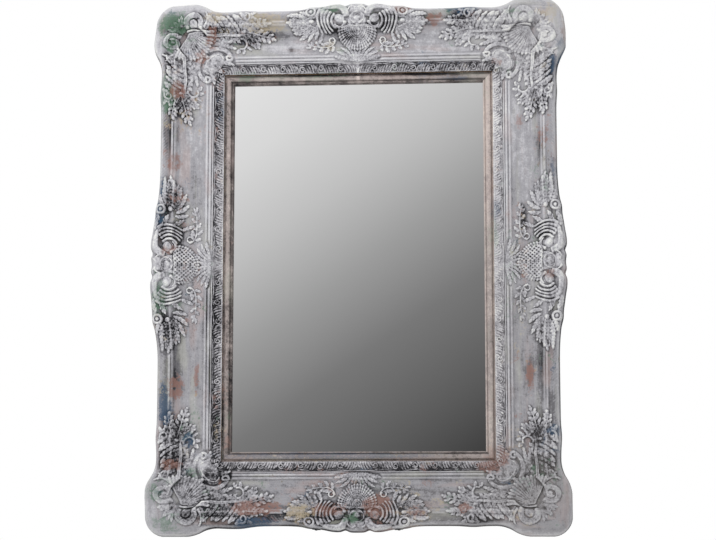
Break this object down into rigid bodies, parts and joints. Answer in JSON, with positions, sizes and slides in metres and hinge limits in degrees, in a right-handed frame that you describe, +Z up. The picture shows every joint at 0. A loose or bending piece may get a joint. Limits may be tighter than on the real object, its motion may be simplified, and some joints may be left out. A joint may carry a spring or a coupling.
{
  "type": "rectangular wall mirror",
  "caption": "Rectangular wall mirror in a wide swept, carved and distressed frame with corner shells, scrolls and palmettes, hung from swinging rings on the back.",
  "frame": {"origin": "centre of the flat back of the frame, in the plane of the back panel's back face", "axes": "+X to the right seen from the front, +Z up, +Y towards the wall; the mirror faces -Y"},
  "size_m": [0.852, 0.0781, 1.096],
  "materials": {
    "rail_paint": "distressed whitewash over older coloured paint on carved wood",
    "slip_paint": "pinkish tan paint, rubbed",
    "carving_paint": "grey white paint with dark wash in the cuts",
    "ornament_paint": "distressed white, green, blue and ochre paint with dark wash in the cuts",
    "mirror": "silvered flat glass",
    "card": "grey-brown board",
    "panel_board": "plain hardboard",
    "screw_steel": "bright zinc plate",
    "hanger_steel": "nickel plate",
    "rubber": "matt black"
  },
  "bodies": {
    "frame": {"back_panel": "panel_board", "backing_card": "card", "corner_cartouche_bottom_left": "ornament_paint", "corner_cartouche_bottom_right": "ornament_paint", "corner_cartouche_top_left": "ornament_paint", "corner_cartouche_top_right": "ornament_paint", "corner_leaves_bottom_left": "ornament_paint", "corner_leaves_bottom_right": "ornament_paint", "corner_leaves_top_left": "ornament_paint", "corner_leaves_top_right": "ornament_paint", "corner_scrolls_bottom_left": "ornament_paint", "corner_scrolls_bottom_right": "ornament_paint", "corner_scrolls_top_left": "ornament_paint", "corner_scrolls_top_right": "ornament_paint", "corner_shell_bottom_left": "ornament_paint", "corner_shell_bottom_right": "ornament_paint", "corner_shell_top_left": "ornament_paint", "corner_shell_top_right": "ornament_paint", "hanger_screws": "screw_steel", "hanger_strap_left": "hanger_steel", "hanger_strap_right": "hanger_steel", "leaf_band_bottom": "carving_paint", "leaf_band_left": "carving_paint", "leaf_band_right": "carving_paint", "leaf_band_top": "carving_paint", "middle_leaves_bottom": "ornament_paint", "middle_leaves_left": "ornament_paint", "middle_leaves_right": "ornament_paint", "middle_leaves_top": "ornament_paint", "mirror_glass": "mirror", "mitre_nails": "screw_steel", "palmette_bottom": "ornament_paint", "palmette_left": "ornament_paint", "palmette_right": "ornament_paint", "palmette_top": "ornament_paint", "panel_screws": "screw_steel", "rail_bottom": "rail_paint", "rail_left": "rail_paint", "rail_right": "rail_paint", "rail_top": "rail_paint", "reed_curls_bottom": "ornament_paint", "reed_curls_left": "ornament_paint", "reed_curls_right": "ornament_paint", "reed_curls_top": "ornament_paint", "slip_bottom": "slip_paint", "slip_left": "slip_paint", "slip_right": "slip_paint", "slip_top": "slip_paint", "sprigs_bottom": "ornament_paint", "sprigs_left": "ornament_paint", "sprigs_right": "ornament_paint", "sprigs_top": "ornament_paint", "wall_bumpers": "rubber", "wings_bottom": "ornament_paint", "wings_left": "ornament_paint", "wings_right": "ornament_paint", "wings_top": "ornament_paint"},
    "ring_right": {"hanger_ring_right": "hanger_steel"},
    "ring_left": {"hanger_ring_left": "hanger_steel"}
  },
  "joints": [
    {"name": "ring_right_swing", "type": "hinge", "parent": "frame", "child": "ring_right", "pos_m": [0.348, 0.0036, 0.3], "axis": [1, 0, 0], "range_deg": [0, 176]},
    {"name": "ring_left_swing", "type": "hinge", "parent": "frame", "child": "ring_left", "pos_m": [-0.348, 0.0036, 0.3], "axis": [1, 0, 0], "range_deg": [0, 176]}
  ]
}
